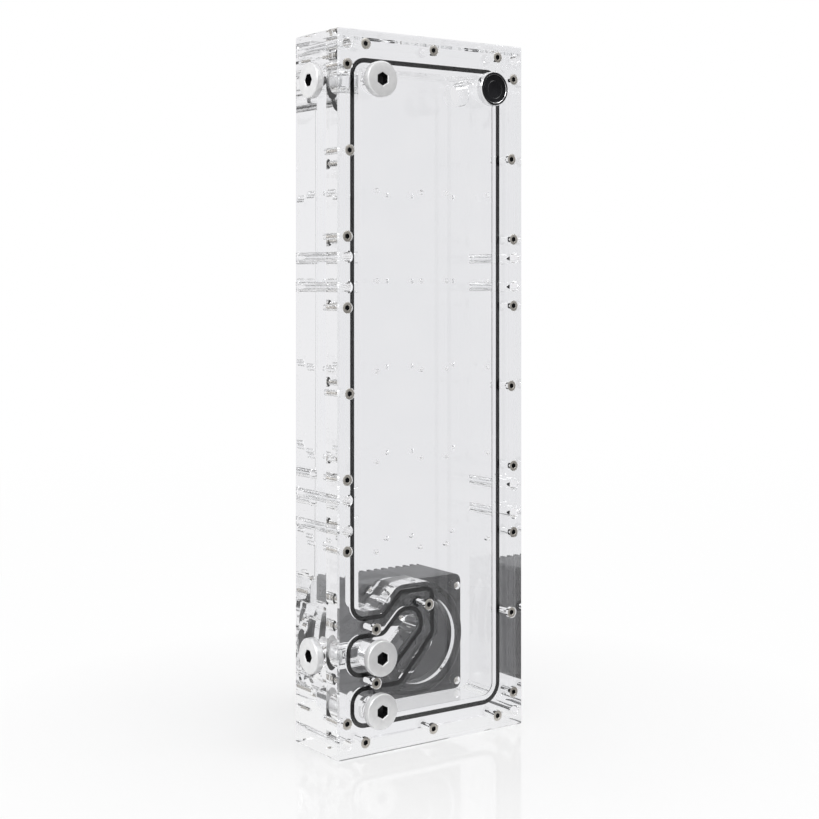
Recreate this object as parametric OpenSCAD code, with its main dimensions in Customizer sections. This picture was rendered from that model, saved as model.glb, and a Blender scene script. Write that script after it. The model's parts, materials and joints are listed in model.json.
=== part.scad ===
// Clear coolant reservoir plate with a canned-rotor pump bolted to its back.
// Origin: middle of the base face. X runs across the plate, +Y into its depth, +Z up.
// Places on the plate are given as a distance from its left edge, a depth from its front
// face and a height above its base.

/* [Plate] */
// Width of the clear plate
plate_w = 116; // [114:1:130]
// Height of the clear plate
plate_h = 360; // [356:1:380]
// Thickness of the front cover
cover_t = 11; // [10:0.5:13]
// Thickness of the tank body behind the cover
body_t = 30; // [29:0.5:34]
// Depth of the coolant chamber, cut into the tank body
chamber_depth = 20; // [19:0.5:21]
// Bevel on the outer edges
edge_bevel = 0.8; // [0.4:0.1:1.2]
// Air film that the seals hold between cover, tank and pump
film_gap = 0.1; // [0.05:0.05:0.2]

/* [Fan mounting] */
// Pitch of the fan bays up the plate
fan_pitch = 120; // [118:0.5:122]
// Hole spacing of one fan, both ways
fan_hole_span = 105; // [104:0.5:106]
// Radius of the fan mounting holes
fan_hole_r = 2.5; // [2:0.1:2.8]

/* [Seals] */
// Diameter of the seal cord
cord_d = 2.3; // [2:0.1:2.6]
// Depth of the seal grooves
groove_depth = 2; // [1.8:0.1:2.2]
// Seal line from the left edge
seal_left = 12.5; // [12:0.1:13.5]
// Seal line from the right edge
seal_right = 11.7; // [11.2:0.1:12.5]
// Seal line from the top edge
seal_top = 14; // [13.5:0.1:15]
// Seal line from the base
seal_bottom = 13.2; // [12.8:0.1:13.4]
// Land between the seal line and the chamber wall
seal_land = 3.6; // [3:0.1:4]

/* [Cover screws] */
// Radius of the screw shanks
screw_r = 1.5; // [1.3:0.1:1.6]
// Length of the screw shanks
screw_length = 13; // [12:0.5:13.5]
// Radius of the screw heads
screw_head_r = 2.75; // [2.6:0.05:3]
// Height of the screw heads
screw_head_h = 3; // [2.6:0.1:3.2]
// Side column distance from the plate edge
column_inset = 5.6; // [5.2:0.1:6]
// Side column distance from the edge at the middle of a fan bay
column_mid_inset = 7; // [6:0.1:7.4]
// Distance of a column screw above and below the middle of a fan bay
column_screw_span = 42.4; // [41.8:0.1:43]
// Top and bottom row distance from the plate edge
row_inset = 6.7; // [6:0.1:7]
// Spacing of the screws in the top and bottom rows
row_screw_span = 41.6; // [40:0.1:42]

/* [Ports and plugs] */
// Thread radius of the ports
port_r = 6.58; // [6.4:0.01:6.7]
// Left ports from the left edge
port_x = 24; // [23.6:0.1:24.4]
// Fill port from the right edge
fill_inset = 21.5; // [20.5:0.1:24]
// Upper ports below the top edge
upper_port_drop = 24; // [23.6:0.1:26]
// Outlet port above the base
outlet_z = 48; // [47.6:0.1:48.4]
// Drain port above the base
drain_z = 21.6; // [21.4:0.1:21.8]
// Depth of the side ports behind the front face
side_port_depth = 22.2; // [21.9:0.1:22.5]
// Radius of the plug heads
plug_head_r = 9; // [8.8:0.1:9.2]
// Thickness of the plug heads
plug_head_t = 3.8; // [3.4:0.1:4.2]
// Threaded length of the plugs
plug_thread_length = 9; // [8:0.1:9.4]
// Width across flats of the hex sockets
hex_flats = 6; // [5:0.5:6.5]
// Depth of the hex sockets
hex_depth = 5; // [4.6:0.1:6]

/* [Accessory holes] */
// Radius of the blind accessory holes
accessory_r = 1.25; // [1:0.05:1.5]
// Depth of the blind accessory holes
accessory_depth = 3; // [2:0.1:4]
// Outer columns from the side edges
accessory_inset = 23; // [20:0.5:26]
// Spacing of the two middle columns
accessory_mid_gap = 16; // [12:0.5:20]
// Lowest row above the base
accessory_first_z = 100.6; // [98:0.1:104]
// Spacing of the rows
accessory_pitch = 45; // [43:0.5:46]

/* [Pump] */
// Pump axis from the left edge
pump_x = 68; // [67.8:0.1:69]
// Pump axis above the base
pump_z = 46; // [45.6:0.1:46.4]
// Side of the square pump housing
pump_side = 62; // [61.8:0.2:66]
// Corner radius of the pump housing
pump_corner_r = 4; // [3:0.5:5]
// Spacing of the four pump screws
pump_screw_span = 51; // [50.6:0.1:51.4]
// Radius of the pump screw shanks
pump_screw_r = 2; // [1.8:0.05:2.1]
// Thickness of the pump flange
flange_t = 5; // [4.5:0.1:6]
// Length of the pump housing
housing_length = 25; // [24:0.5:30]
// Thickness of the back cover plate
back_plate_t = 3; // [2.5:0.1:4]
// Height of the cooling fins
fin_h = 3.5; // [2.5:0.1:4]
// Thickness of one cooling fin
fin_t = 1.8; // [1.4:0.1:2.2]
// Spacing of the cooling fins
fin_pitch = 4.8; // [4.4:0.1:5.4]
// Radius of the volute, cut into the back of the tank
volute_r = 23.5; // [23.2:0.1:23.8]
// Depth of the volute
volute_depth = 8; // [7.8:0.1:8.2]
// Radius of the inlet eye in the chamber floor
inlet_r = 8; // [7.4:0.1:8.2]
// Radius of the outlet throat
throat_r = 4; // [3.4:0.1:4.2]
// Middle radius of the pump seal
pump_seal_r = 28.9; // [28.7:0.1:29]

/* [Rotor and motor] */
// Radius of the impeller
impeller_r = 19.5; // [18:0.1:20]
// Number of impeller blades
blade_count = 7; // [5:1:9]
// Radius of the ceramic shaft
shaft_r = 1.5; // [1.3:0.05:1.7]
// Running clearance between the shaft and its bush
running_gap = 0.04; // [0.02:0.01:0.08]
// Inner radius of the rotor can
can_r = 15.4; // [15.2:0.1:15.6]
// Wall of the rotor can
can_wall = 1; // [0.8:0.1:1.2]
// Depth of the rotor can behind the tank
can_depth = 22.5; // [22.2:0.1:22.8]
// Bore of the pump housing, which holds the stator
housing_bore_r = 27; // [26.8:0.1:27.4]
// Number of stator teeth
tooth_count = 6; // [6:3:6]

/* [Hidden] */
$fn = 96;
fit_gap = 0.05;
easy_gap = 0.15;
plate_t = cover_t + body_t;
front_y = -plate_t / 2;
floor_depth = cover_t + chamber_depth;
upper_port_z = plate_h - upper_port_drop;
fill_x = plate_w - fill_inset;

// How far the plate, one fan bay and the pump have grown from their standard sizes
standard_plate_w = 116;
standard_plate_h = 360;
standard_pump_side = 62;
bay_count = 3;
plate_growth = plate_w - standard_plate_w;
bay_growth = (plate_h - standard_plate_h) / bay_count;
pump_growth = (pump_side - standard_pump_side) / 2;

// What keeps its distance from the plate's edges and the ends of its bay
fan_span_x = fan_hole_span + plate_growth;
fan_span_z = fan_hole_span + bay_growth;
column_span = column_screw_span + bay_growth / 2;
row_span = row_screw_span + plate_growth / 2;
bays = [for (bay = [-1:1]) plate_h / 2 + bay * (fan_pitch + bay_growth)];

// What keeps its distance from the sides of the pump
screw_span = pump_screw_span + 2 * pump_growth;
seal_ring_r = pump_seal_r + pump_growth;
volute_wall_r = volute_r + pump_growth;
rotor_r = impeller_r + pump_growth;
stator_r = housing_bore_r + pump_growth;
over = 1;
arc_steps = 10;

// Outlet slot: from the port straight across, then up to the throat beside the volute
slot_r = 4.5;
slot_run = 14.1;
throat_across = 0.8;
throat_up = 0.6;
throat_out = 1.5;
slot_end = [
    pump_x - throat_across * (volute_wall_r + throat_out),
    pump_z + throat_up * (volute_wall_r + throat_out)
];
slot_bend = [slot_end[0] - slot_run, outlet_z];

// Seal round the outlet slot, from the port and the end of the slot
loop_back = 13.8;
loop_left = port_x - loop_back;
loop_top = 9.8;
loop_bottom = 9.4;
loop_bend_r = 5;
loop_end_out = 6.4;
loop_end_up = 7.7;
loop_end_x = slot_end[0] + loop_end_out;
loop_end_z = slot_end[1] + loop_end_up;
loop_turn_up = 9.5;
loop_turn_run = 18.9;
loop_roof_run = 12.4;
loop_shoulder_run = 23.3;

// Land between the two seals, wide enough for the land screws
land_up = 8.8;
land_down = 6.9;
land_out = 7;

// Seal lines: corners as [from left, height, corner radius], anticlockwise
seal_neck_run = 23.4;
seal_step_run = 12.6;
seal_foot_run = 13.4;
seal_drop_up = 6;
seal_neck_z = outlet_z + loop_top + land_up;
seal_neck_x = loop_end_x - seal_neck_run;
seal_step_z = loop_end_z + land_up;
seal_step_x = loop_end_x - seal_step_run;
seal_drop_x = loop_end_x + land_out;
seal_drop_z = outlet_z + seal_drop_up;
seal_foot_x = loop_end_x - seal_foot_run;
seal_foot_z = outlet_z - loop_bottom - land_down;
seal_corner_r = 7.5;
seal_big_corner_r = 10;
seal_bend_r = 4;
main_line = [
    [seal_left, plate_h - seal_top, seal_corner_r],
    [seal_left, seal_neck_z, seal_corner_r],
    [seal_neck_x, seal_neck_z, seal_bend_r],
    [seal_step_x, seal_step_z, seal_bend_r],
    [seal_drop_x, seal_step_z, seal_bend_r],
    [seal_drop_x, seal_drop_z, seal_bend_r],
    [seal_foot_x, seal_foot_z, seal_bend_r],
    [seal_left, seal_foot_z, seal_corner_r],
    [seal_left, seal_bottom, seal_corner_r],
    [plate_w - seal_right, seal_bottom, seal_big_corner_r],
    [plate_w - seal_right, plate_h - seal_top, seal_corner_r]
];
outlet_line = [
    [loop_left, outlet_z + loop_top, seal_corner_r],
    [loop_left, outlet_z - loop_bottom, seal_corner_r],
    [loop_end_x - loop_turn_run, outlet_z - loop_bottom, loop_bend_r],
    [loop_end_x, outlet_z + loop_turn_up, loop_bend_r],
    [loop_end_x, loop_end_z, seal_corner_r],
    [loop_end_x - loop_roof_run, loop_end_z, seal_corner_r],
    [loop_end_x - loop_shoulder_run, outlet_z + loop_top, loop_bend_r]
];

// Screw places, as [from left, height]
column_rows = [for (bay = [0:2], step = [-1:1])
    [bays[bay] + step * column_span, step == 0 ? column_mid_inset : column_inset]];
outlet_row = 1;
cover_screw_places = concat(
    [for (i = [0:len(column_rows) - 1]) if (i != outlet_row)
        [column_rows[i][1], column_rows[i][0]]],
    [for (row = column_rows) [plate_w - row[1], row[0]]],
    [for (step = [-1:1], z = [row_inset, plate_h - row_inset])
        [plate_w / 2 + step * row_span, z]]
);
land_screw_back = 1.2;
land_screw_up = 14.1;
land_screw_down = 12.85;
land_screw_out = 0.7;
land_screw_over = 1.9;
land_screw_places = [
    [port_x - land_screw_back, outlet_z + land_screw_up],
    [port_x - land_screw_back, outlet_z - land_screw_down],
    [loop_end_x + land_screw_out, loop_end_z + land_screw_over]
];
all_screw_places = concat(cover_screw_places, land_screw_places);
fan_hole_places = [for (bay = bays, dx = [-1, 1], dz = [-1, 1])
    [plate_w / 2 + dx * fan_span_x / 2, bay + dz * fan_span_z / 2]];
accessory_columns = [
    accessory_inset,
    (plate_w - accessory_mid_gap) / 2,
    (plate_w + accessory_mid_gap) / 2,
    plate_w - accessory_inset
];
accessory_places = [for (x = accessory_columns, row = [0:4])
    [x, accessory_first_z + row * accessory_pitch]];
pump_screw_places = [for (dx = [-1, 1], dz = [-1, 1])
    [pump_x + dx * screw_span / 2, pump_z + dz * screw_span / 2]];

// Cover screw depths from the front face
screw_head_depth = screw_head_h + 0.2;
screw_tip_depth = screw_head_depth + screw_length;
screw_hole_depth = screw_tip_depth + 0.8;

// Plug details
plug_gap = 0.3;
plug_groove_top = 1.65;
plug_groove_r = 8.45;
plug_ring_r = 7.5;
plug_cord_r = 0.78;
plug_chamfer = 0.5;

// Pump depths behind the back of the tank
pump_front = film_gap;
flange_back = pump_front + flange_t;
housing_back = flange_back + housing_length;
plate_back = housing_back + back_plate_t;
pump_seal_w = 2.8;
volute_ceiling = plate_t - volute_depth;
can_rim_gap = 1.4;
can_rim_r = volute_wall_r - can_rim_gap;
can_rim_t = 2;
can_end_t = 1.5;
pump_screw_hole_depth = 7.6;
pump_head_r = 3.5;
pump_head_h = 3;
gland_off = 14;
gland_place = [pump_x + gland_off, pump_z - gland_off];
gland_r = 3.5;
gland_cable_r = 2.2;

// Rotor depths behind the back of the tank; the impeller lies in the volute
shroud_t = 1;
disc_t = 1.4;
shroud_front = 0.8 - volute_depth;
disc_back = -0.8;
hub_front = shroud_front + 2.6;
hub_back = can_depth - 4;
hub_r = 5.5;
bush_r = shaft_r + 1.7;
eye_r = inlet_r;
magnet_gap = 0.8;
magnet_front = 2.6;
coil_over = 2;
stator_front = flange_back + coil_over + easy_gap;
stator_back = 20;
tooth_w = 5;
coil_w = 9.4;
yoke_w = 3.5;
tooth_tip_r = can_r + can_wall + 0.3;
board_front = can_depth + can_end_t + 1.2;
board_t = 1.6;

function unit(v) = v / norm(v);
function turn(a, b) = a[0] * b[1] - a[1] * b[0];
function left_of(v) = [-v[1], v[0]];

// Moves one corner of an anticlockwise line inwards by d, and fits its radius
function moved_corner(a, p, b, d) =
    let (
        u = unit([p[0] - a[0], p[1] - a[1]]),
        v = unit([b[0] - p[0], b[1] - p[1]]),
        bisector = (left_of(u) + left_of(v)) / (1 + u * v),
        r = p[2] - d * sign(turn(u, v))
    )
    [p[0] + bisector[0] * d, p[1] + bisector[1] * d, max(r, 0.4)];

// Moves a whole line inwards by d
function moved(line, d) =
    let (n = len(line))
    [for (i = [0:n - 1]) moved_corner(line[(i + n - 1) % n], line[i], line[(i + 1) % n], d)];

// Points along the round of one corner
function corner_arc(a, p, b) =
    let (
        corner = [p[0], p[1]],
        u = unit([a[0], a[1]] - corner),
        v = unit([b[0], b[1]] - corner),
        half = acos(u * v) / 2,
        reach = p[2] / tan(half),
        middle = corner + unit(u + v) * p[2] / sin(half),
        first = corner + u * reach - middle,
        last = corner + v * reach - middle,
        start = atan2(first[1], first[0]),
        sweep = (atan2(last[1], last[0]) - start + 540) % 360 - 180
    )
    [for (k = [0:arc_steps])
        middle + p[2] * [cos(start + sweep * k / arc_steps), sin(start + sweep * k / arc_steps)]];

// The whole line with its rounds
function round_line(line) =
    let (n = len(line))
    [for (i = [0:n - 1]) each corner_arc(line[(i + n - 1) % n], line[i], line[(i + 1) % n])];

// An outline in [from left, height], extruded between two depths
module between(near, far) {
    translate([-plate_w / 2, front_y + far, 0])
        rotate([90, 0, 0])
            linear_extrude(far - near)
                children();
}

// A round cut or rod at a place, between two depths
module rod(place, near, far, r) {
    translate([place[0] - plate_w / 2, front_y + near, place[1]])
        rotate([-90, 0, 0])
            cylinder(h = far - near, r = r);
}

// A drilled blind hole from the front, with its conical end
module drilled(place, near, far, r) {
    rod(place, near, far, r);
    translate([place[0] - plate_w / 2, front_y + far, place[1]])
        rotate([-90, 0, 0])
            cylinder(h = r * 0.6, r1 = r, r2 = 0);
}

// The same, drilled from the back
module drilled_from_back(place, near, far, r) {
    rod(place, near, far, r);
    translate([place[0] - plate_w / 2, front_y + near, place[1]])
        rotate([90, 0, 0])
            cylinder(h = r * 0.6, r1 = r, r2 = 0);
}

// Puts a piece on the front face, with its own +Z pointing out
module on_front(x, z) {
    translate([x - plate_w / 2, front_y, z])
        rotate([90, 0, 0])
            children();
}

// Puts a piece on the left face, with its own +Z pointing out
module on_left(z) {
    translate([-plate_w / 2, front_y + side_port_depth, z])
        rotate([0, -90, 0])
            children();
}

// Puts a piece behind the tank on the pump axis, with its own +Z pointing back
module on_pump(depth) {
    translate([pump_x - plate_w / 2, front_y + plate_t + depth, pump_z])
        rotate([-90, 0, 0])
            children();
}

module seal_ring(line, width, near, far) {
    between(near, far)
        difference() {
            polygon(round_line(moved(line, -width / 2)));
            polygon(round_line(moved(line, width / 2)));
        }
}

// One block of the plate with bevelled outer edges; face is the depth of its outer face
module block(near, far, face) {
    side = edge_bevel * sqrt(2);
    difference() {
        translate([-plate_w / 2, front_y + near, 0])
            cube([plate_w, far - near, plate_h]);
        for (x = [-plate_w / 2, plate_w / 2]) {
            translate([x, front_y + face, plate_h / 2])
                rotate([0, 0, 45])
                    cube([side, side, plate_h + 2 * over], center = true);
            for (z = [0, plate_h])
                translate([x, front_y + (near + far) / 2, z])
                    rotate([0, 45, 0])
                        cube([side, far - near + 2 * over, side], center = true);
        }
        for (z = [0, plate_h])
            translate([0, front_y + face, z])
                rotate([45, 0, 0])
                    cube([plate_w + 2 * over, side, side], center = true);
    }
}

// The mouth of a fan hole, eased on the outer face
module fan_mouth(place, near, far, r1, r2) {
    translate([place[0] - plate_w / 2, front_y + near, place[1]])
        rotate([-90, 0, 0])
            cylinder(h = far - near, r1 = r1, r2 = r2);
}

module front_cover() {
    mouth_r = fan_hole_r + 0.6;
    color([0.93, 0.94, 0.95, 0.4])
        difference() {
            block(0, cover_t - film_gap, 0);
            for (place = all_screw_places) {
                rod(place, -over, screw_head_depth, screw_head_r + easy_gap);
                rod(place, 0, cover_t + over, screw_r + easy_gap);
            }
            for (place = fan_hole_places) {
                rod(place, -over, cover_t + over, fan_hole_r);
                fan_mouth(place, 0, mouth_r - fan_hole_r, mouth_r, fan_hole_r);
            }
            for (place = accessory_places)
                drilled(place, -over, accessory_depth, accessory_r);
            for (place = [[port_x, upper_port_z], [port_x, outlet_z], [port_x, drain_z],
                    [fill_x, upper_port_z]])
                rod(place, -over, cover_t + over, port_r);
        }
}

// The coolant chamber and the pocket of the outlet slot
module wet_pockets() {
    between(cover_t - over, floor_depth)
        polygon(round_line(moved(main_line, seal_land)));
    rod([port_x, outlet_z], cover_t - over, floor_depth, port_r);
    for (place = [slot_bend, slot_end])
        rod(place, cover_t - over, floor_depth, slot_r);
    between(cover_t - over, floor_depth) {
        translate([port_x, outlet_z - slot_r])
            square([slot_bend[0] - port_x, 2 * slot_r]);
        translate(slot_bend)
            rotate(atan2(slot_end[1] - slot_bend[1], slot_end[0] - slot_bend[0]))
                translate([0, -slot_r])
                    square([norm(slot_end - slot_bend), 2 * slot_r]);
    }
}

// What the pump needs in the back of the tank
module pump_pockets() {
    place = [pump_x, pump_z];
    rod(place, volute_ceiling, plate_t + over, volute_wall_r);
    rod(place, cover_t, volute_ceiling + over, inlet_r);
    rod(slot_end, floor_depth - over, volute_ceiling + 3.5, throat_r);
    difference() {
        rod(place, plate_t - pump_seal_w, plate_t + over, seal_ring_r + pump_seal_w / 2 + fit_gap);
        rod(place, 0, plate_t + 2 * over, seal_ring_r - pump_seal_w / 2 - fit_gap);
    }
    for (corner = pump_screw_places)
        drilled_from_back(corner, plate_t - pump_screw_hole_depth, plate_t + over,
            pump_screw_r + fit_gap);
}

module tank_body() {
    mouth_r = fan_hole_r + 0.6;
    chamber_x = seal_left + seal_land;
    color([0.93, 0.94, 0.95, 0.4])
        difference() {
            block(cover_t, plate_t, plate_t);
            wet_pockets();
            pump_pockets();
            seal_ring(main_line, cord_d + 2 * fit_gap, cover_t - over, cover_t + groove_depth);
            seal_ring(outlet_line, cord_d + 2 * fit_gap, cover_t - over, cover_t + groove_depth);
            for (place = all_screw_places)
                drilled(place, cover_t - over, screw_hole_depth, screw_r + fit_gap);
            for (place = fan_hole_places) {
                rod(place, cover_t - over, plate_t + over, fan_hole_r);
                fan_mouth(place, plate_t - mouth_r + fan_hole_r, plate_t, fan_hole_r, mouth_r);
            }
            for (place = accessory_places)
                drilled_from_back(place, plate_t - accessory_depth, plate_t + over, accessory_r);
            rod([fill_x, upper_port_z], floor_depth - over, plate_t + over, port_r);
            on_left(upper_port_z)
                translate([0, 0, -chamber_x - over])
                    cylinder(h = chamber_x + 2 * over, r = port_r);
            on_left(outlet_z)
                translate([0, 0, -port_x])
                    cylinder(h = port_x + over, r = port_r);
        }
}

module main_seal() {
    color([0.03, 0.03, 0.03])
        seal_ring(main_line, cord_d, cover_t - film_gap + 0.02, cover_t + groove_depth - 0.02);
}

module outlet_seal() {
    color([0.03, 0.03, 0.03])
        seal_ring(outlet_line, cord_d, cover_t - film_gap + 0.02, cover_t + groove_depth - 0.02);
}

// A socket cap screw standing in the front face, head outwards
module cap_screw() {
    socket_flats = 2.5;
    socket_depth = 1.6;
    translate([0, 0, -screw_head_depth])
        difference() {
            union() {
                cylinder(h = screw_head_h - 0.3, r = screw_head_r);
                translate([0, 0, screw_head_h - 0.3])
                    cylinder(h = 0.3, r1 = screw_head_r, r2 = screw_head_r - 0.3);
                translate([0, 0, -screw_length])
                    cylinder(h = screw_length, r = screw_r);
            }
            translate([0, 0, screw_head_h - socket_depth])
                cylinder(h = socket_depth + over, r = socket_flats / sqrt(3), $fn = 6);
        }
}

module cover_screws() {
    color([0.78, 0.78, 0.8])
        for (place = cover_screw_places)
            on_front(place[0], place[1])
                cap_screw();
}

module land_screws() {
    color([0.78, 0.78, 0.8])
        for (place = land_screw_places)
            on_front(place[0], place[1])
                cap_screw();
}

// The turned body of a plug: threaded shank, seal groove under the head, chamfered head
module plug_blank() {
    thread_r = port_r - 0.08;
    rotate_extrude()
        polygon([
            [0, -plug_thread_length],
            [thread_r - plug_chamfer, -plug_thread_length],
            [thread_r, -plug_thread_length + plug_chamfer],
            [thread_r, plug_groove_top],
            [plug_groove_r, plug_groove_top],
            [plug_groove_r, plug_gap],
            [plug_head_r - 0.3, plug_gap],
            [plug_head_r, plug_gap + 0.3],
            [plug_head_r, plug_head_t - plug_chamfer],
            [plug_head_r - plug_chamfer, plug_head_t],
            [0, plug_head_t]
        ]);
}

module hex_plug() {
    color([0.82, 0.82, 0.84])
        difference() {
            plug_blank();
            translate([0, 0, plug_head_t - hex_depth])
                cylinder(h = hex_depth + over, r = hex_flats / sqrt(3), $fn = 6);
        }
}

// The fill plug is turned by its rim: a raised rim round a dished face with a ring and a boss
module hand_plug() {
    dish_r = plug_head_r - 1.3;
    dish_depth = 0.5;
    ring_r = 4.6;
    ring_w = 0.7;
    boss_r = 1.6;
    color([0.3, 0.3, 0.32])
        difference() {
            plug_blank();
            translate([0, 0, plug_head_t - dish_depth])
                difference() {
                    cylinder(h = over, r = dish_r);
                    difference() {
                        cylinder(h = dish_depth, r = ring_r);
                        cylinder(h = dish_depth, r = ring_r - ring_w);
                    }
                    cylinder(h = dish_depth, r = boss_r);
                }
        }
}

module plug_ring() {
    color([0.03, 0.03, 0.03])
        translate([0, 0, plug_cord_r + 0.04])
            rotate_extrude()
                translate([plug_ring_r, 0])
                    circle(plug_cord_r, $fn = 32);
}

module top_plug() on_front(port_x, upper_port_z) hex_plug();
module top_plug_ring() on_front(port_x, upper_port_z) plug_ring();
module outlet_plug() on_front(port_x, outlet_z) hex_plug();
module outlet_plug_ring() on_front(port_x, outlet_z) plug_ring();
module drain_plug() on_front(port_x, drain_z) hex_plug();
module drain_plug_ring() on_front(port_x, drain_z) plug_ring();
module fill_plug() on_front(fill_x, upper_port_z) hand_plug();
module fill_plug_ring() on_front(fill_x, upper_port_z) plug_ring();
module side_top_plug() on_left(upper_port_z) hex_plug();
module side_top_plug_ring() on_left(upper_port_z) plug_ring();
module side_outlet_plug() on_left(outlet_z) hex_plug();
module side_outlet_plug_ring() on_left(outlet_z) plug_ring();

module pump_seal() {
    color([0.03, 0.03, 0.03])
        on_pump(-pump_seal_w + 0.04)
            difference() {
                cylinder(h = pump_seal_w, r = seal_ring_r + pump_seal_w / 2);
                translate([0, 0, -over])
                    cylinder(h = pump_seal_w + 2 * over, r = seal_ring_r - pump_seal_w / 2);
            }
}

// The rounded square section of the pump
module pump_square(h) {
    half = pump_side / 2;
    linear_extrude(h)
        polygon(round_line([
            [-half, -half, pump_corner_r],
            [half, -half, pump_corner_r],
            [half, half, pump_corner_r],
            [-half, half, pump_corner_r]
        ]));
}

// Rods on the four pump screw axes
module pump_corners(h, r) {
    for (dx = [-1, 1], dz = [-1, 1])
        translate([dx * screw_span / 2, dz * screw_span / 2, 0])
            cylinder(h = h, r = r);
}

module pump_flange() {
    color([0.2, 0.2, 0.22])
        on_pump(pump_front)
            difference() {
                pump_square(flange_t);
                translate([0, 0, -over])
                    cylinder(h = can_rim_t + over, r = can_rim_r + fit_gap);
                cylinder(h = flange_t + over, r = can_r + can_wall + fit_gap);
                translate([0, 0, -over])
                    pump_corners(flange_t + 2 * over, pump_screw_r + easy_gap);
            }
}

module pump_housing() {
    color([0.27, 0.27, 0.29])
        on_pump(flange_back)
            difference() {
                pump_square(housing_length);
                translate([0, 0, -over])
                    cylinder(h = housing_length + 2 * over, r = stator_r + fit_gap);
                translate([0, 0, -over])
                    pump_corners(housing_length + 2 * over, pump_screw_r + easy_gap);
            }
}

module pump_back_cover() {
    fins = floor((pump_side / 2 - fin_t) / fin_pitch);
    clear_r = pump_head_r + 1;
    gland_pad_r = gland_r + 3;
    gland_x = gland_place[0] - pump_x;
    gland_z = gland_place[1] - pump_z;
    color([0.27, 0.27, 0.29])
        on_pump(housing_back)
            difference() {
                union() {
                    pump_square(back_plate_t);
                    intersection() {
                        pump_square(back_plate_t + fin_h);
                        for (i = [-fins:fins])
                            translate([i * fin_pitch - fin_t / 2, -pump_side / 2, 0])
                                cube([fin_t, pump_side, back_plate_t + fin_h]);
                    }
                }
                translate([0, 0, back_plate_t]) {
                    pump_corners(fin_h + over, clear_r);
                    translate([gland_x, -gland_z, 0])
                        cylinder(h = fin_h + over, r = gland_pad_r);
                }
                translate([gland_x, -gland_z, -over])
                    cylinder(h = back_plate_t + 2 * over, r = gland_r + fit_gap);
                translate([0, 0, -over])
                    pump_corners(back_plate_t + 2 * over, pump_screw_r + easy_gap);
            }
}

// Four screws from the back cover through the pump into the tank
module pump_screws() {
    tip = pump_screw_hole_depth - 0.6;
    socket_r = 1.45;
    socket_depth = 1.8;
    color([0.6, 0.6, 0.62])
        for (place = pump_screw_places)
            translate([place[0] - pump_x, 0, place[1] - pump_z])
                on_pump(plate_back)
                    difference() {
                        union() {
                            cylinder(h = pump_head_h, r = pump_head_r);
                            translate([0, 0, -plate_back - tip])
                                cylinder(h = plate_back + tip, r = pump_screw_r);
                        }
                        translate([0, 0, pump_head_h - socket_depth])
                            cylinder(h = socket_depth + over, r = socket_r, $fn = 6);
                    }
}

// The rubber gland that the pump cable passes through
module cable_gland() {
    lip_t = 1.2;
    lip_r = gland_r + 1.6;
    color([0.05, 0.05, 0.05])
        translate([gland_place[0] - pump_x, 0, gland_place[1] - pump_z])
            on_pump(housing_back)
                difference() {
                    union() {
                        translate([0, 0, -lip_t])
                            cylinder(h = lip_t, r = lip_r);
                        cylinder(h = back_plate_t, r = gland_r);
                        translate([0, 0, back_plate_t])
                            cylinder(h = lip_t, r = lip_r);
                    }
                    translate([0, 0, -lip_t - over])
                        cylinder(h = back_plate_t + 2 * lip_t + 2 * over, r = gland_cable_r);
                }
}

module rotor_can() {
    boss_r = shaft_r + 2.5;
    boss_h = 3.5;
    color([0.12, 0.12, 0.13])
        on_pump(pump_front)
            difference() {
                union() {
                    cylinder(h = can_rim_t, r = can_rim_r);
                    cylinder(h = can_depth + can_end_t - pump_front, r = can_r + can_wall);
                }
                difference() {
                    translate([0, 0, -over])
                        cylinder(h = can_depth - pump_front + over, r = can_r);
                    translate([0, 0, can_depth - pump_front - boss_h])
                        cylinder(h = boss_h + over, r = boss_r);
                }
                translate([0, 0, can_depth - pump_front - boss_h - over])
                    cylinder(h = boss_h + over, r = shaft_r + 0.02);
            }
}

module rotor_shaft() {
    color([0.9, 0.9, 0.86])
        on_pump(hub_front - 1)
            cylinder(h = can_depth - hub_front + 1, r = shaft_r);
}

module rotor_bush() {
    color([0.15, 0.15, 0.15])
        on_pump(hub_front)
            difference() {
                cylinder(h = hub_back - hub_front, r = bush_r);
                translate([0, 0, -over])
                    cylinder(h = hub_back - hub_front + 2 * over, r = shaft_r + running_gap);
            }
}

module impeller() {
    blade_t = 1.2;
    blade_lean = 35;
    blade_start = 7;
    color([0.16, 0.16, 0.17])
        difference() {
            union() {
                on_pump(hub_front)
                    cylinder(h = hub_back - hub_front, r = hub_r);
                on_pump(disc_back - disc_t)
                    cylinder(h = disc_t, r = rotor_r);
                on_pump(shroud_front)
                    difference() {
                        cylinder(h = shroud_t, r = rotor_r);
                        translate([0, 0, -over])
                            cylinder(h = shroud_t + 2 * over, r = eye_r);
                    }
                intersection() {
                    on_pump(shroud_front)
                        difference() {
                            cylinder(h = disc_back - shroud_front, r = rotor_r);
                            translate([0, 0, -over])
                                cylinder(h = disc_back - shroud_front, r = eye_r - 0.5);
                        }
                    on_pump(shroud_front + shroud_t / 2)
                        for (i = [0:blade_count - 1])
                            rotate(i * 360 / blade_count)
                                translate([blade_start, 0, 0])
                                    rotate(blade_lean)
                                        translate([-1, -blade_t / 2, 0])
                                            cube([rotor_r, blade_t,
                                                disc_back - disc_t / 2 - shroud_front - shroud_t / 2]);
                }
            }
            on_pump(hub_front - over)
                cylinder(h = hub_back - hub_front + 2 * over, r = bush_r + 0.02);
        }
}

module rotor_magnet() {
    color([0.35, 0.35, 0.36])
        on_pump(magnet_front)
            difference() {
                cylinder(h = hub_back - magnet_front, r = can_r - magnet_gap);
                translate([0, 0, -over])
                    cylinder(h = hub_back - magnet_front + 2 * over, r = hub_r + 0.02);
            }
}

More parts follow.
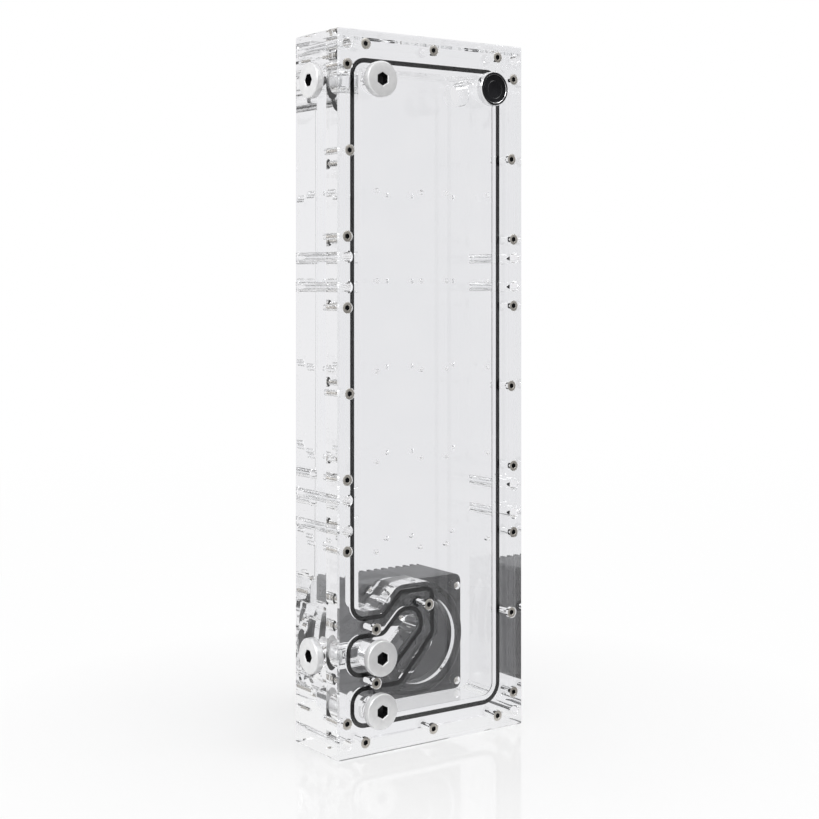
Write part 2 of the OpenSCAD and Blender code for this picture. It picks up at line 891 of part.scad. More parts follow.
module stator_core() {
    length = stator_back - stator_front;
    color([0.55, 0.55, 0.57])
        on_pump(stator_front)
            difference() {
                union() {
                    difference() {
                        cylinder(h = length, r = stator_r);
                        translate([0, 0, -over])
                            cylinder(h = length + 2 * over, r = stator_r - yoke_w);
                    }
                    for (i = [0:tooth_count - 1])
                        rotate(i * 360 / tooth_count)
                            translate([tooth_tip_r - 1, -tooth_w / 2, 0])
                                cube([stator_r - yoke_w - tooth_tip_r + 2, tooth_w, length]);
                }
                translate([0, 0, -over])
                    cylinder(h = length + 2 * over, r = tooth_tip_r);
            }
}

module stator_coils() {
    length = stator_back - stator_front;
    near_r = tooth_tip_r + 1.2;
    far_r = stator_r - yoke_w - 0.6;
    color([0.72, 0.42, 0.2])
        on_pump(stator_front)
            for (i = [0:tooth_count - 1])
                rotate(i * 360 / tooth_count)
                    difference() {
                        translate([near_r, -coil_w / 2, -coil_over])
                            cube([far_r - near_r, coil_w, length + 2 * coil_over]);
                        translate([near_r - over, -tooth_w / 2 - fit_gap, -fit_gap])
                            cube([far_r - near_r + 2 * over, tooth_w + 2 * fit_gap,
                                length + 2 * fit_gap]);
                    }
}

module circuit_board() {
    color([0.05, 0.25, 0.12])
        on_pump(board_front)
            cylinder(h = board_t, r = stator_r - fit_gap);
}

module board_capacitors() {
    cap_r = 2.5;
    cap_h = 2.6;
    cap_pitch = 7;
    cap_first = -12;
    cap_row = 8;
    color([0.2, 0.2, 0.22])
        on_pump(board_front + board_t)
            for (i = [0:2])
                translate([cap_first + i * cap_pitch, cap_row, 0])
                    cylinder(h = cap_h, r = cap_r);
}

front_cover();
tank_body();
main_seal();
outlet_seal();
cover_screws();
land_screws();
top_plug();
top_plug_ring();
outlet_plug();
outlet_plug_ring();
drain_plug();
drain_plug_ring();
fill_plug();
fill_plug_ring();
side_top_plug();
side_top_plug_ring();
side_outlet_plug();
side_outlet_plug_ring();
pump_seal();
pump_flange();
pump_housing();
pump_back_cover();
pump_screws();
cable_gland();
rotor_can();
rotor_shaft();
rotor_bush();
impeller();
rotor_magnet();
stator_core();
stator_coils();
circuit_board();
board_capacitors();
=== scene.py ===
import json
import math
import bmesh
import bpy
from mathutils import Matrix, Vector


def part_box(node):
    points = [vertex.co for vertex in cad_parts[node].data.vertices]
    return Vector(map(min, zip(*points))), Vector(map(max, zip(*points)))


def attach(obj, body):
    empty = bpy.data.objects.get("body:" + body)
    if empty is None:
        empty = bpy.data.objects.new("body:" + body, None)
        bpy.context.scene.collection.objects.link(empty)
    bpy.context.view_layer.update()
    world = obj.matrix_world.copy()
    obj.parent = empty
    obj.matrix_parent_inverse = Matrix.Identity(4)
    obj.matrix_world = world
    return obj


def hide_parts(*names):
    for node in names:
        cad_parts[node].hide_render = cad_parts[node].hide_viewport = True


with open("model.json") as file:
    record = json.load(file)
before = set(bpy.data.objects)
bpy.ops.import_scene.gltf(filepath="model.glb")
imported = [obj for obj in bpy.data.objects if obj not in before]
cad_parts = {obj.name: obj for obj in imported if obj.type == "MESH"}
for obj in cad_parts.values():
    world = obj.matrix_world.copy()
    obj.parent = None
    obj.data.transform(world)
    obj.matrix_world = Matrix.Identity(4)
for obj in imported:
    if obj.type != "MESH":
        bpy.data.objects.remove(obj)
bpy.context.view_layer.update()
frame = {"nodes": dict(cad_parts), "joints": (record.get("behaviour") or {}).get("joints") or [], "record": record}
nodes = frame["nodes"]
scene = bpy.context.scene

MM = 0.001
SHARP = math.radians(32)

# Plugs
HEAD_H = 3.8 * MM
HEAD_CHAMFER = 0.45 * MM
KNURL_COUNT = 72
KNURL_DEPTH = 0.16 * MM
SHANK_R = 6.5 * MM
NECK_R = 5.7 * MM
THREAD_PITCH = 1.337 * MM
THREAD_DEPTH = 0.5 * MM
KEY_FLATS = 6 * MM
KEY_DEPTH = 5 * MM
PLUG_SEGMENTS = 144
# The first rings of a lofted screw or plug, which make its socket; their faces are painted dark as the socket's
# shade
SOCKET_RINGS = 3

# The fill plug's face, as shares of the head's radius and depths below the rim
RIM_MOUTH = 0.84
RIM_EDGE = 0.82
RIM_WALL = 0.8
RIM_FLOOR = 0.7
RIM_DEPTH = 0.9 * MM
RIM_EASE = 0.15 * MM
BADGE_PLAY = 0.06 * MM
BADGE_BACK = 0.88 * MM
BADGE_LOW = 0.5 * MM
BADGE_HIGH = 0.35 * MM
BADGE_TOP = 0.3 * MM

# Head radius, head height, shank radius and hexagon flats of each kind of screw
COVER_SCREW = (2.75 * MM, 3 * MM, 1.5 * MM, 2.5 * MM)
PUMP_SCREW = (3.5 * MM, 3 * MM, 2 * MM, 3 * MM)

# The way to a dark card at the front right, which the front face mirrors
DARK_CARD = (0.574, -0.819, 0)
CARD_PALE = (0.96, 0.96, 0.97)
CARD_DARK = (0.02, 0.02, 0.022)
# How squarely a way meets the card, from its edge to where it is fully dark
CARD_EDGE = (0.72, 0.88)
# The card's dark side on the floor, by the distance towards it, in metres
CARD_ON_FLOOR = (0.03, 0.12)
FLOOR_PALE = (0.9, 0.9, 0.9)

# The colour of the background seen through the acrylic
THROUGH = (0.99, 0.985, 1, 1)

# The background's level on the object, in a mirror, and through the acrylic
LAMP_LEVEL = 0.62
MIRROR_LEVEL = 0.95
THROUGH_LEVEL = 0.86
EYE_LEVEL = 1.0

# Where the floor starts and ends fading into the white background
FLOOR_NEAR = 0.35
FLOOR_FAR = 1.6
# Where the shade round the object fades out
SHADE_NEAR = 0.08
SHADE_FAR = 0.26
# How much of the floor is plain background: to a mirror, through the acrylic,
# and to the eye near the object and away from it
FLOOR_IN_MIRROR = 0.9
FLOOR_THROUGH = 0.97
FLOOR_TO_EYE = (0.5, 0.95)
FLOOR_SIZE = 6
FLOOR_ROUGHNESS = 0.07

# Name, place, aim, size in metres and watts of each soft lamp
LAMPS = (
    ("key", (-0.9, -0.7, 1.1), (0, 0, 0.2), 0.8, 7),
    ("fill", (0.45, -0.75, 1.35), (0, 0, 0.15), 0.8, 6),
)

# The camera looks level, and is shifted down to the object
CAMERA_PLACE = (-0.4650, -0.6615, 0.2356)
CAMERA_TURN = -35.05
CAMERA_LENS = 68.13
CAMERA_SENSOR = 36
CAMERA_SHIFT = -0.157
CAMERA_CLIP = 0.01

# Light paths long enough for the acrylic's inner reflections
MAX_BOUNCES = 40
TRANSMISSION_BOUNCES = 32
GLOSSY_BOUNCES = 24
TRANSPARENT_BOUNCES = 24

FRONT = Vector((0, -1, 0))
BACK = Vector((0, 1, 0))

# Socket cap screws
SCREW_PITCH = 0.5 * MM
SCREW_THREAD_DEPTH = 0.16 * MM
SCREW_SEGMENTS = 24

PLUGS = ("top", "outlet", "drain", "side_top", "side_outlet")


# ---------------------------------------------------------------- materials

def new_material(name):
    """A material with only an output node, and its node and link helpers."""
    material = bpy.data.materials.new(name)
    material.use_nodes = True
    tree = material.node_tree
    tree.nodes.clear()
    return material, tree


def add(tree, kind, **inputs):
    """Adds a node. Names that are sockets set the socket, others set the node."""
    node = tree.nodes.new(kind)
    for key, value in inputs.items():
        label = key.replace("_", " ")
        if hasattr(node, key):
            setattr(node, key, value)
        elif label in node.inputs:
            node.inputs[label].default_value = value
        else:
            raise KeyError(kind + " has no " + key)
    return node


def link(tree, source, socket, target, name):
    tree.links.new(source.outputs[socket], target.inputs[name])


def ramp(tree, source, socket, low, high, start=0.35, end=0.65):
    """A colour that runs from low to high over part of a factor's range."""
    node = tree.nodes.new("ShaderNodeValToRGB")
    node.color_ramp.elements[0].position = start
    node.color_ramp.elements[1].position = end
    node.color_ramp.elements[0].color = (*low, 1)
    node.color_ramp.elements[1].color = (*high, 1)
    tree.links.new(source.outputs[socket], node.inputs["Fac"])
    return node


def spread(tree, source, socket, low, high):
    node = tree.nodes.new("ShaderNodeMapRange")
    node.inputs["To Min"].default_value = low
    node.inputs["To Max"].default_value = high
    tree.links.new(source.outputs[socket], node.inputs["Value"])
    return node


def finish(name, low, high, rough, grain, metallic=0.0, bump=0.1, depth=0.00005, shine=0.5):
    """Moulded, cast or machined material: mottled colour, roughness and grain."""
    material, tree = new_material(name)
    place = add(tree, "ShaderNodeTexCoord")
    broad = add(tree, "ShaderNodeTexNoise", Scale=60.0, Detail=3.0)
    fine = add(tree, "ShaderNodeTexNoise", Scale=grain, Detail=6.0)
    link(tree, place, "Object", broad, "Vector")
    link(tree, place, "Object", fine, "Vector")
    colour = ramp(tree, broad, "Fac", low, high)
    gloss = spread(tree, fine, "Fac", rough[0], rough[1])
    relief = add(tree, "ShaderNodeBump", Strength=bump, Distance=depth)
    link(tree, fine, "Fac", relief, "Height")
    shader = add(tree, "ShaderNodeBsdfPrincipled", Metallic=metallic)
    shader.inputs["Specular IOR Level"].default_value = shine
    link(tree, colour, "Color", shader, "Base Color")
    link(tree, gloss, "Result", shader, "Roughness")
    link(tree, relief, "Normal", shader, "Normal")
    output = add(tree, "ShaderNodeOutputMaterial")
    link(tree, shader, "BSDF", output, "Surface")
    return material


def turned_metal(name, low, high, rough, pitch, bump, metallic=1.0):
    """Lathe-turned metal: fine rings about the piece's own axis."""
    material, tree = new_material(name)
    place = add(tree, "ShaderNodeTexCoord")
    rings = add(tree, "ShaderNodeTexWave", Scale=1.0 / pitch, Distortion=0.6)
    rings.wave_type = "RINGS"
    rings.rings_direction = "Z"
    link(tree, place, "Object", rings, "Vector")
    cloud = add(tree, "ShaderNodeTexNoise", Scale=260.0, Detail=4.0)
    link(tree, place, "Object", cloud, "Vector")
    colour = ramp(tree, cloud, "Fac", low, high)
    gloss = spread(tree, rings, "Fac", rough[0], rough[1])
    relief = add(tree, "ShaderNodeBump", Strength=bump, Distance=0.00003)
    link(tree, rings, "Fac", relief, "Height")
    shader = add(tree, "ShaderNodeBsdfPrincipled", Metallic=metallic)
    link(tree, colour, "Color", shader, "Base Color")
    link(tree, gloss, "Result", shader, "Roughness")
    link(tree, relief, "Normal", shader, "Normal")
    output = add(tree, "ShaderNodeOutputMaterial")
    link(tree, shader, "BSDF", output, "Surface")
    return material


def clear_acrylic():
    """Polished cast acrylic. Lamps pass through it, so it casts a pale shadow."""
    material, tree = new_material("clear_acrylic")
    place = add(tree, "ShaderNodeTexCoord")
    haze = add(tree, "ShaderNodeTexNoise", Scale=45.0, Detail=4.0)
    link(tree, place, "Object", haze, "Vector")
    tint = ramp(tree, haze, "Fac", (0.975, 0.98, 0.985), (0.99, 0.993, 0.996))
    glass = add(tree, "ShaderNodeBsdfPrincipled", IOR=1.49, Roughness=0.0)
    glass.inputs["Transmission Weight"].default_value = 1.0
    link(tree, tint, "Color", glass, "Base Color")
    clear = add(tree, "ShaderNodeBsdfTransparent", Color=(0.9, 0.905, 0.91, 1))
    path = add(tree, "ShaderNodeLightPath")
    mixed = add(tree, "ShaderNodeMixShader")
    link(tree, path, "Is Shadow Ray", mixed, "Fac")
    tree.links.new(glass.outputs["BSDF"], mixed.inputs[1])
    tree.links.new(clear.outputs["BSDF"], mixed.inputs[2])
    output = add(tree, "ShaderNodeOutputMaterial")
    link(tree, mixed, "Shader", output, "Surface")
    return material


def wound_copper():
    """Enamelled wire: fine turns side by side round each coil."""
    material, tree = new_material("coil_copper")
    place = add(tree, "ShaderNodeTexCoord")
    turns = add(tree, "ShaderNodeTexWave", Scale=420.0, Distortion=0.4)
    turns.bands_direction = "Y"
    link(tree, place, "Object", turns, "Vector")
    colour = ramp(tree, turns, "Fac", (0.30, 0.10, 0.03), (0.72, 0.33, 0.13), 0.1, 0.9)
    relief = add(tree, "ShaderNodeBump", Strength=0.6, Distance=0.0002)
    link(tree, turns, "Fac", relief, "Height")
    shader = add(tree, "ShaderNodeBsdfPrincipled", Metallic=0.8, Roughness=0.32)
    link(tree, colour, "Color", shader, "Base Color")
    link(tree, relief, "Normal", shader, "Normal")
    output = add(tree, "ShaderNodeOutputMaterial")
    link(tree, shader, "BSDF", output, "Surface")
    return material


MATERIALS = {
    "clear_acrylic": clear_acrylic(),
    "seal_rubber": finish(
        "seal_rubber", (0.003, 0.003, 0.003), (0.008, 0.008, 0.0085), (0.35, 0.55), 1800.0,
        shine=0.06),
    "screw_steel": finish(
        "screw_steel", (0.50, 0.47, 0.43), (0.68, 0.65, 0.60), (0.25, 0.42), 900.0, metallic=0.6),
    "satin_silver": turned_metal(
        "satin_silver", (0.86, 0.86, 0.865), (0.94, 0.94, 0.94), (0.28, 0.44), 0.0011, 0.35,
        metallic=0.45),
    "polished_rim": turned_metal(
        "polished_rim", (0.78, 0.78, 0.79), (0.88, 0.88, 0.88), (0.05, 0.14), 0.0015, 0.08),
    "badge_black": finish(
        "badge_black", (0.008, 0.008, 0.009), (0.018, 0.018, 0.02), (0.12, 0.25), 1400.0),
    # Painted shade: a near-black colour on the sockets' faces that stands in for the shade inside them
    "socket_painted_shade": finish(
        "socket_painted_shade", (0.012, 0.012, 0.013), (0.04, 0.04, 0.042), (0.18, 0.4), 700.0,
        metallic=0.6),
    "pump_black": finish(
        "pump_black", (0.014, 0.014, 0.016), (0.030, 0.030, 0.033), (0.3, 0.45), 1500.0,
        shine=0.3),
    "housing_charcoal": finish(
        "housing_charcoal", (0.075, 0.075, 0.08), (0.12, 0.12, 0.125), (0.42, 0.6), 1700.0),
    "rotor_plastic": finish(
        "rotor_plastic", (0.03, 0.03, 0.032), (0.06, 0.06, 0.064), (0.35, 0.5), 1300.0),
    "shaft_ceramic": finish(
        "shaft_ceramic", (0.80, 0.79, 0.76), (0.9, 0.89, 0.86), (0.12, 0.22), 1500.0),
    "bush_carbon": finish(
        "bush_carbon", (0.02, 0.02, 0.02), (0.05, 0.05, 0.05), (0.35, 0.5), 2200.0),
    "magnet_ferrite": finish(
        "magnet_ferrite", (0.05, 0.05, 0.055), (0.1, 0.1, 0.105), (0.5, 0.7), 2400.0),
    "stator_iron": finish(
        "stator_iron", (0.32, 0.32, 0.34), (0.5, 0.5, 0.52), (0.3, 0.5), 1900.0, metallic=1.0),
    "coil_copper": wound_copper(),
    "board_green": finish(
        "board_green", (0.01, 0.09, 0.035), (0.02, 0.17, 0.06), (0.25, 0.4), 900.0),
    "capacitor_can": finish(
        "capacitor_can", (0.45, 0.45, 0.47), (0.62, 0.62, 0.64), (0.2, 0.35), 1200.0,
        metallic=1.0),
}


def dress_nodes():
    """Every CAD node takes the material of its own slot."""
    subparts = frame["record"]["subparts"]
    for part in subparts:
        material = MATERIALS[part["material_slot"]]
        nodes[part["node"]].data.materials.clear()
        nodes[part["node"]].data.materials.append(material)


# ------------------------------------------------------------------- shapes

def ring(radius, z, segments):
    """One ring of points. radius is a number, or a function of the angle."""
    points = []
    for i in range(segments):
        angle = 2 * math.pi * i / segments
        r = radius(angle) if callable(radius) else radius
        points.append(Vector((r * math.cos(angle), r * math.sin(angle), z)))
    return points


def hexagon(flats):
    """The radius of a hexagon at an angle."""
    def radius(angle):
        turned = (angle + math.pi / 6) % (math.pi / 3) - math.pi / 6
        return flats / 2 / math.cos(turned)
    return radius


def knurl(outer, depth, count):
    def radius(angle):
        return outer - depth * (0.5 - 0.5 * math.cos(count * angle))
    return radius


def thread_rings(outer, depth, pitch, low, high, segments, steps=6):
    """Rings from low to high whose radius follows a helix."""
    count = max(2, int(round((high - low) / pitch * steps)))
    rings = []
    for k in range(count + 1):
        z = low + (high - low) * k / count

        def radius(angle, z=z):
            phase = (z / pitch + angle / (2 * math.pi)) % 1
            return outer - depth * abs(2 * phase - 1)
        rings.append(ring(radius, z, segments))
    return rings


def loft(mesh_data, rings, matrix=Matrix.Identity(4), recessed=0):
    """Skins rings of equal count, closes both ends, and adds it to a bmesh.

    The first faces, up to ring number recessed, are marked with index 1.
    """
    rows = [[mesh_data.verts.new(matrix @ point) for point in row] for row in rings]
    count = len(rows[0])
    for k, (below, above) in enumerate(zip(rows, rows[1:])):
        for i in range(count):
            j = (i + 1) % count
            face = mesh_data.faces.new((below[i], below[j], above[j], above[i]))
            face.material_index = 1 if k < recessed else 0
    for row, flip in ((rows[0], True), (rows[-1], False)):
        middle = mesh_data.verts.new(sum((v.co for v in row), Vector()) / count)
        for i in range(count):
            j = (i + 1) % count
            corner = (row[j], row[i]) if flip else (row[i], row[j])
            face = mesh_data.faces.new((*corner, middle))
            face.material_index = 1 if flip and recessed else 0


def piece(name, mesh_data, material, matrix=Matrix.Identity(4), recess=None):
    """Turns a bmesh into an object with crisp edges and smooth rounds.

    recess is the material of the faces that the bmesh marks with index 1: the sockets, painted dark as their
    shade.
    """
    bmesh.ops.recalc_face_normals(mesh_data, faces=mesh_data.faces)
    mesh = bpy.data.meshes.new(name)
    mesh_data.to_mesh(mesh)
    mesh_data.free()
    for polygon in mesh.polygons:
        polygon.use_smooth = True
    mesh.set_sharp_from_angle(angle=SHARP)
    mesh.materials.append(MATERIALS[material])
    if recess:
        mesh.materials.append(MATERIALS[recess])
    made = bpy.data.objects.new(name, mesh)
    made.matrix_world = matrix
    scene.collection.objects.link(made)
    return made


def islands(name):
    """The box of each separate solid in a CAD node."""
    mesh = nodes[name].data
    parent = list(range(len(mesh.vertices)))
    keys = {}
    for i, vertex in enumerate(mesh.vertices):
        key = tuple(round(c, 6) for c in vertex.co)
        parent[i] = keys.setdefault(key, i)

    def root(i):
        while parent[i] != i:
            parent[i] = parent[parent[i]]
            i = parent[i]
        return i

    for edge in mesh.edges:
        a, b = root(edge.vertices[0]), root(edge.vertices[1])
        if a != b:
            parent[a] = b
    groups = {}
    for i, vertex in enumerate(mesh.vertices):
        groups.setdefault(root(i), []).append(vertex.co)
    boxes = []
    for points in groups.values():
        low = Vector(min(p[k] for p in points) for k in range(3))
        high = Vector(max(p[k] for p in points) for k in range(3))
        boxes.append((low, high))
    return sorted(boxes, key=lambda box: tuple(round(c, 5) for c in box[0]))


# -------------------------------------------------------------------- plugs

def facing(outward):
    """Turns local +Z to the way a plug faces."""
    return Vector((0, 0, 1)).rotation_difference(outward).to_matrix().to_4x4()


def plug_place(name, outward):
    """Where the head's face is, and how long and wide the plug is."""
    low, high = (Vector(corner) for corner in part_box(name))
    middle = (low + high) / 2
    size = high - low
    length = abs(size.dot(outward))
    face = middle + outward * length / 2
    width = max(size[k] for k in range(3) if abs(outward[k]) < 0.5)
    return face, length, width / 2


def socket_rings(flats, depth, segments, mouth=0.35 * MM):
    """A hexagon socket seen from its drilled end to its mouth."""
    wall = hexagon(flats)
    eased = hexagon(flats + 2 * mouth)
    return [
        ring(flats * 0.22, -depth, segments),
        ring(flats * 0.44, -depth + flats * 0.12, segments),
        ring(wall, -depth + flats * 0.12, segments),
        ring(wall, -mouth, segments),
        ring(eased, 0, segments),
    ]


def plug_outline(head_r, length):
    """Rings from the head's face to the end of the thread."""
    n = PLUG_SEGMENTS
    rim = knurl(head_r, KNURL_DEPTH, KNURL_COUNT)
    inner = head_r - HEAD_CHAMFER
    rings = [
        ring(inner * 0.62, 0, n),
        ring(inner * 0.985, 0, n),
        ring(inner, -0.04 * MM, n),
        ring(head_r - 0.12 * MM, -HEAD_CHAMFER, n),
        ring(rim, -HEAD_CHAMFER - 0.12 * MM, n),
        ring(rim, -HEAD_H + 0.5 * MM, n),
        ring(head_r - 0.1 * MM, -HEAD_H + 0.38 * MM, n),
        ring(head_r - 0.1 * MM, -HEAD_H, n),
        ring(NECK_R, -HEAD_H, n),
        ring(NECK_R, -HEAD_H - 0.6 * MM, n),
    ]
    thread = thread_rings(
        SHANK_R, THREAD_DEPTH, THREAD_PITCH, -length + 0.7 * MM, -HEAD_H - 0.9 * MM, n)
    rings += reversed(thread)
    rings.append(ring(SHANK_R - 0.7 * MM, -length, n))
    return rings


def make_plug(key, outward):
    """A knurled stop plug with a hexagon socket and a cut thread."""
    name = key + "_plug"
    face, length, head_r = plug_place(name, outward)
    shape = bmesh.new()
    socket = socket_rings(KEY_FLATS, KEY_DEPTH, PLUG_SEGMENTS)
    loft(shape, socket + plug_outline(head_r, length), recessed=SOCKET_RINGS)
    # The socket's faces take the painted shade, not the plug's own colour
    made = piece(name + "_turned", shape, "satin_silver",
                 Matrix.Translation(face) @ facing(outward), "socket_painted_shade")
    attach(made, name)
    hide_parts(name)


def make_fill_plug(outward):
    """The round plug at the top: a bright rim round a plain dark face."""
    name = "fill_plug"
    face, length, head_r = plug_place(name, outward)
    matrix = Matrix.Translation(face) @ facing(outward)
    n = PLUG_SEGMENTS
    rim = bmesh.new()
    mouth = [
        ring(head_r * RIM_FLOOR, -RIM_DEPTH, n),
        ring(head_r * RIM_WALL, -RIM_DEPTH, n),
        ring(head_r * RIM_EDGE, -RIM_EASE, n),
        ring(head_r * RIM_MOUTH, 0, n),
    ]
    loft(rim, mouth + plug_outline(head_r, length)[1:])
    rim_piece = piece(name + "_rim", rim, "polished_rim", matrix)
    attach(rim_piece, name)
    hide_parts(name)
    badge = bmesh.new()
    r = head_r * RIM_WALL - BADGE_PLAY
    loft(badge, [
        ring(r, -BADGE_BACK, n),
        ring(r, -BADGE_LOW, n),
        ring(r - RIM_EASE, -BADGE_HIGH, n),
        ring(r * 0.72, -BADGE_HIGH, n),
        ring(r * 0.69, -BADGE_LOW, n),
        ring(r * 0.6, -BADGE_LOW, n),
        ring(r * 0.57, -BADGE_HIGH, n),
        ring(r * 0.3, -BADGE_TOP, n),
    ])
    face_piece = piece(name + "_face", badge, "badge_black", matrix)
    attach(face_piece, name)


# ------------------------------------------------------------------- screws

def cap_screw(shape, matrix, head_r, head_h, shank_r, length, flats, pointed):
    """One socket cap screw, its head's face at the origin and its tip at -Z."""
    n = SCREW_SEGMENTS
    tip = length - shank_r * (1.2 if pointed else 0.3)
    rings = socket_rings(flats, head_h * 0.62, n, 0.12 * MM)
    rings += [
        ring(head_r - 0.3 * MM, 0, n),
        ring(head_r - 0.08 * MM, -0.1 * MM, n),
        ring(head_r, -0.3 * MM, n),
        ring(head_r, -head_h, n),
        ring(shank_r, -head_h, n),
    ]
    rings += reversed(thread_rings(
        shank_r, SCREW_THREAD_DEPTH, SCREW_PITCH, -tip, -head_h - 0.3 * MM, n, 4))
    rings.append(ring(shank_r * (0.08 if pointed else 0.7), -length, n))
    loft(shape, rings, matrix, SOCKET_RINGS)


def make_screws(name, head_r, head_h, shank_r, flats, outward, pointed):
    """Detailed screws on the axes of the CAD ones, as one piece."""
    shape = bmesh.new()
    for low, high in islands(name):
        middle = (low + high) / 2
        length = abs((high - low).dot(outward))
        matrix = Matrix.Translation(middle + outward * length / 2) @ facing(outward)
        cap_screw(shape, matrix, head_r, head_h, shank_r, length, flats, pointed)
    # The sockets' faces take the painted shade, not the screws' own colour
    made = piece(name + "_cut", shape, "screw_steel", recess="socket_painted_shade")
    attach(made, "plate")
    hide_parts(name)


# --------------------------------------------------------- room and camera

def mix_by_ray(tree, source, choices):
    """Shows each kind of ray its own shader. A share is a number or a socket."""
    path = add(tree, "ShaderNodeLightPath")
    for flag, target, share in choices:
        part = add(tree, "ShaderNodeMath", operation="MULTIPLY")
        tree.links.new(path.outputs[flag], part.inputs[0])
        if isinstance(share, float):
            part.inputs[1].default_value = share
        else:
            tree.links.new(share, part.inputs[1])
        mixed = add(tree, "ShaderNodeMixShader")
        tree.links.new(part.outputs[0], mixed.inputs["Fac"])
        tree.links.new(source.outputs[0], mixed.inputs[1])
        tree.links.new(target.outputs[0], mixed.inputs[2])
        source = mixed
    return source


def make_world():
    """White to the eye and through the glass; soft grey light on the object."""
    world = bpy.data.worlds.new("studio")
    scene.world = world
    world.cycles.sampling_method = "NONE"
    world.use_nodes = True
    tree = world.node_tree
    tree.nodes.clear()
    place = add(tree, "ShaderNodeTexCoord")
    toward = add(tree, "ShaderNodeVectorMath", operation="DOT_PRODUCT")
    link(tree, place, "Generated", toward, "Vector")
    toward.inputs[1].default_value = DARK_CARD
    shade = ramp(tree, toward, "Value", CARD_PALE, CARD_DARK, *CARD_EDGE)
    lamp = add(tree, "ShaderNodeBackground", Color=(1, 1, 1, 1), Strength=LAMP_LEVEL)
    mirror = add(tree, "ShaderNodeBackground", Strength=MIRROR_LEVEL)
    link(tree, shade, "Color", mirror, "Color")
    through = add(tree, "ShaderNodeBackground", Color=THROUGH, Strength=THROUGH_LEVEL)
    eye = add(tree, "ShaderNodeBackground", Color=(1, 1, 1, 1), Strength=EYE_LEVEL)
    source = mix_by_ray(tree, lamp, (
        ("Is Glossy Ray", mirror, 1.0),
        ("Is Transmission Ray", through, 1.0),
        ("Is Camera Ray", eye, 1.0),
    ))
    output = add(tree, "ShaderNodeOutputWorld")
    tree.links.new(source.outputs[0], output.inputs["Surface"])


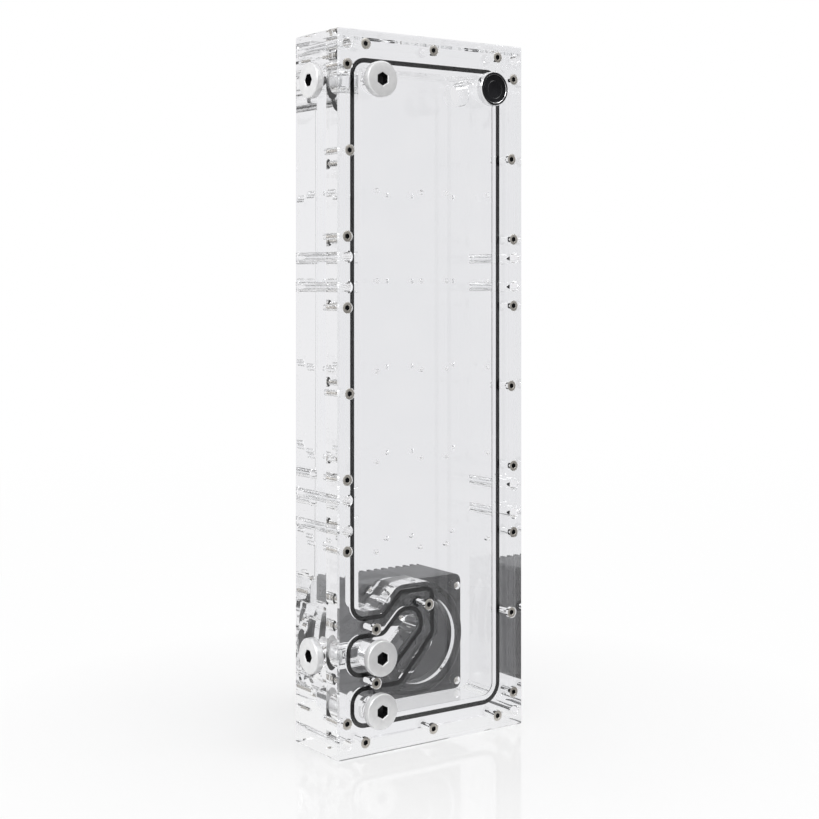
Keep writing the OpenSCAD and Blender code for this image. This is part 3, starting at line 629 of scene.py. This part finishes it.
def make_floor():
    """A pale floor: it keeps the shadow, and reads as white to the eye."""
    shape = bmesh.new()
    bmesh.ops.create_grid(shape, x_segments=1, y_segments=1, size=FLOOR_SIZE)
    mesh = bpy.data.meshes.new("floor")
    shape.to_mesh(mesh)
    shape.free()
    floor = bpy.data.objects.new("floor", mesh)
    scene.collection.objects.link(floor)
    material, tree = new_material("floor_white")
    place = add(tree, "ShaderNodeTexCoord")
    cloud = add(tree, "ShaderNodeTexNoise", Scale=3.0)
    link(tree, place, "Object", cloud, "Vector")
    colour = ramp(tree, cloud, "Fac", (0.90, 0.90, 0.90), (0.92, 0.92, 0.92))
    matt = add(tree, "ShaderNodeBsdfPrincipled", Roughness=FLOOR_ROUGHNESS)
    link(tree, colour, "Color", matt, "Base Color")
    reach = add(tree, "ShaderNodeVectorMath", operation="LENGTH")
    tree.links.new(place.outputs["Object"], reach.inputs[0])
    near = add(tree, "ShaderNodeMapRange")
    near.inputs["From Min"].default_value = SHADE_NEAR
    near.inputs["From Max"].default_value = SHADE_FAR
    near.inputs["To Min"].default_value = FLOOR_TO_EYE[0]
    near.inputs["To Max"].default_value = FLOOR_TO_EYE[1]
    link(tree, reach, "Value", near, "Value")
    eye = add(tree, "ShaderNodeEmission", Strength=EYE_LEVEL)
    through = add(tree, "ShaderNodeEmission", Color=THROUGH, Strength=THROUGH_LEVEL)
    side = add(tree, "ShaderNodeVectorMath", operation="DOT_PRODUCT")
    link(tree, place, "Object", side, "Vector")
    side.inputs[1].default_value = DARK_CARD
    card = ramp(tree, side, "Value", FLOOR_PALE, CARD_DARK, *CARD_ON_FLOOR)
    mirror = add(tree, "ShaderNodeEmission", Strength=1.0)
    link(tree, card, "Color", mirror, "Color")
    source = mix_by_ray(tree, matt, (
        ("Is Glossy Ray", mirror, FLOOR_IN_MIRROR),
        ("Is Transmission Ray", through, FLOOR_THROUGH),
        ("Is Camera Ray", eye, near.outputs["Result"]),
    ))
    fade = add(tree, "ShaderNodeMapRange")
    fade.interpolation_type = "SMOOTHSTEP"
    fade.inputs["From Min"].default_value = FLOOR_NEAR
    fade.inputs["From Max"].default_value = FLOOR_FAR
    tree.links.new(reach.outputs["Value"], fade.inputs["Value"])
    open_air = add(tree, "ShaderNodeBsdfTransparent")
    last = add(tree, "ShaderNodeMixShader")
    tree.links.new(fade.outputs[0], last.inputs["Fac"])
    tree.links.new(source.outputs[0], last.inputs[1])
    tree.links.new(open_air.outputs[0], last.inputs[2])
    output = add(tree, "ShaderNodeOutputMaterial")
    link(tree, last, "Shader", output, "Surface")
    mesh.materials.append(material)


def soft_lamp(name, place, aim, size, power):
    data = bpy.data.lights.new(name, "AREA")
    data.shape = "SQUARE"
    data.size = size
    data.energy = power
    lamp = bpy.data.objects.new(name, data)
    lamp.location = place
    lamp.rotation_euler = (Vector(aim) - Vector(place)).to_track_quat("-Z", "Y").to_euler()
    scene.collection.objects.link(lamp)


def make_camera():
    data = bpy.data.cameras.new("camera")
    data.lens = CAMERA_LENS
    data.sensor_width = CAMERA_SENSOR
    data.shift_y = CAMERA_SHIFT
    data.clip_start = CAMERA_CLIP
    camera = bpy.data.objects.new("camera", data)
    camera.location = CAMERA_PLACE
    camera.rotation_euler = (math.radians(90), 0, math.radians(CAMERA_TURN))
    scene.collection.objects.link(camera)
    scene.camera = camera


def outward_axes():
    """The way each plug comes out, from its hinge."""
    axes = {}
    for joint in frame["joints"]:
        if joint["name"].endswith("_plug_turn"):
            axes[joint["name"][:-len("_plug_turn")]] = Vector(joint["axis"]).normalized()
    return axes


make_camera()
dress_nodes()
axes = outward_axes()
for key in PLUGS:
    make_plug(key, axes[key])
make_fill_plug(axes["fill"])
make_screws("cover_screws", *COVER_SCREW, FRONT, True)
make_screws("land_screws", *COVER_SCREW, FRONT, True)
make_screws("pump_screws", *PUMP_SCREW, BACK, False)
make_world()
make_floor()
for lamp in LAMPS:
    soft_lamp(*lamp)

scene.view_settings.view_transform = "Standard"
scene.cycles.max_bounces = MAX_BOUNCES
scene.cycles.transmission_bounces = TRANSMISSION_BOUNCES
scene.cycles.glossy_bounces = GLOSSY_BOUNCES
scene.cycles.transparent_max_bounces = TRANSPARENT_BOUNCES
